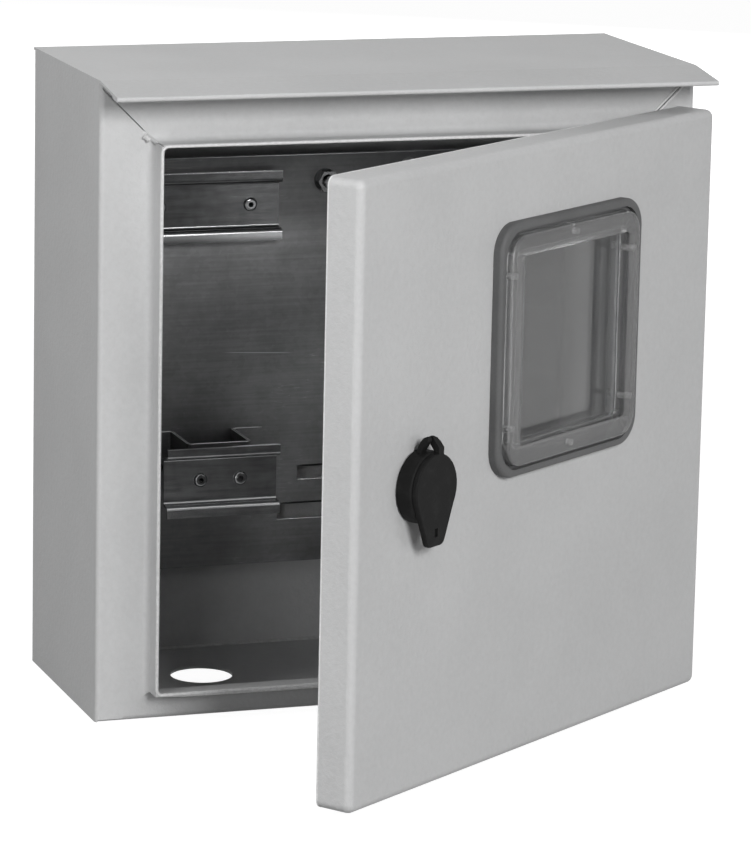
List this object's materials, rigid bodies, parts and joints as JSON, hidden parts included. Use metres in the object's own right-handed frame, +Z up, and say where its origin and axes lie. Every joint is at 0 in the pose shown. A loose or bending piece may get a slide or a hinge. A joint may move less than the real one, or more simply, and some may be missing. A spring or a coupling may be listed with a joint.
{
  "type": "electric meter box",
  "caption": "Wall-mounted sheet-steel meter box with a rain visor, a hinged windowed door with a covered cam lock, a mounting plate and top-hat rails inside.",
  "frame": {"origin": "centre of the back face, at the centre of the four wall holes", "axes": "+X to the right seen from the front, +Y into the wall, +Z up"},
  "size_m": [0.3028, 0.3051, 0.31],
  "materials": {
    "grey_paint": "light grey powder coat, faintly textured",
    "weld_paint": "ground weld under light grey powder coat",
    "galvanised": "galvanised sheet, satin",
    "rail_zinc": "zinc plated, satin",
    "rivet_steel": "plain rivet, satin",
    "zinc_fixing": "zinc plated",
    "hinge_steel": "zinc plated",
    "seal_foam": "foamed seal, matt dark grey",
    "gasket_rubber": "matt dark grey rubber",
    "clear_window": "clear polycarbonate, gloss",
    "lock_black": "black moulded plastic, satin",
    "core_zinc": "die cast zinc, satin"
  },
  "bodies": {
    "case": {"body_shell": "grey_paint", "roof_panel": "grey_paint", "header_flange": "grey_paint", "floor_panel": "grey_paint", "upper_case_hinge": "grey_paint", "lower_case_hinge": "grey_paint", "corner_welds": "weld_paint", "mounting_plate": "galvanised", "rail_bracket": "galvanised", "upper_rail": "rail_zinc", "lower_rail": "rail_zinc", "upper_rail_rivets": "rivet_steel", "lower_rail_rivets": "rivet_steel", "bracket_rivets": "rivet_steel", "plate_studs": "zinc_fixing", "stud_spacers": "zinc_fixing", "plate_washers": "zinc_fixing", "plate_nuts": "zinc_fixing", "upper_hinge_pin": "hinge_steel", "lower_hinge_pin": "hinge_steel"},
    "door": {"door_panel": "grey_paint", "door_seal": "seal_foam", "upper_door_hinge": "grey_paint", "lower_door_hinge": "grey_paint", "window_gasket": "gasket_rubber", "window_pane": "clear_window", "window_push_nuts": "hinge_steel", "lock_housing": "lock_black", "lock_gasket": "gasket_rubber", "lock_nut": "lock_black", "cover_pin": "lock_black"},
    "core": {"lock_core": "core_zinc", "lock_cam": "hinge_steel", "cam_screw": "hinge_steel"},
    "cover": {"lock_cover": "lock_black"}
  },
  "joints": [
    {"name": "door_hinge", "type": "hinge", "parent": "case", "child": "door", "pos_m": [0.1409, -0.1309, -0.008], "axis": [0, 0, 1], "range_deg": [-35.5, 74.5]},
    {"name": "lock_turn", "type": "hinge", "parent": "door", "child": "core", "pos_m": [-0.04657, -0.27948, -0.008], "axis": [-0.5807, 0.8141, 0], "range_deg": [0, 90]},
    {"name": "cover_flip", "type": "hinge", "parent": "door", "child": "cover", "pos_m": [-0.04262, -0.28502, 0.014], "axis": [-0.8141, -0.5807, 0], "range_deg": [0, 120]}
  ]
}
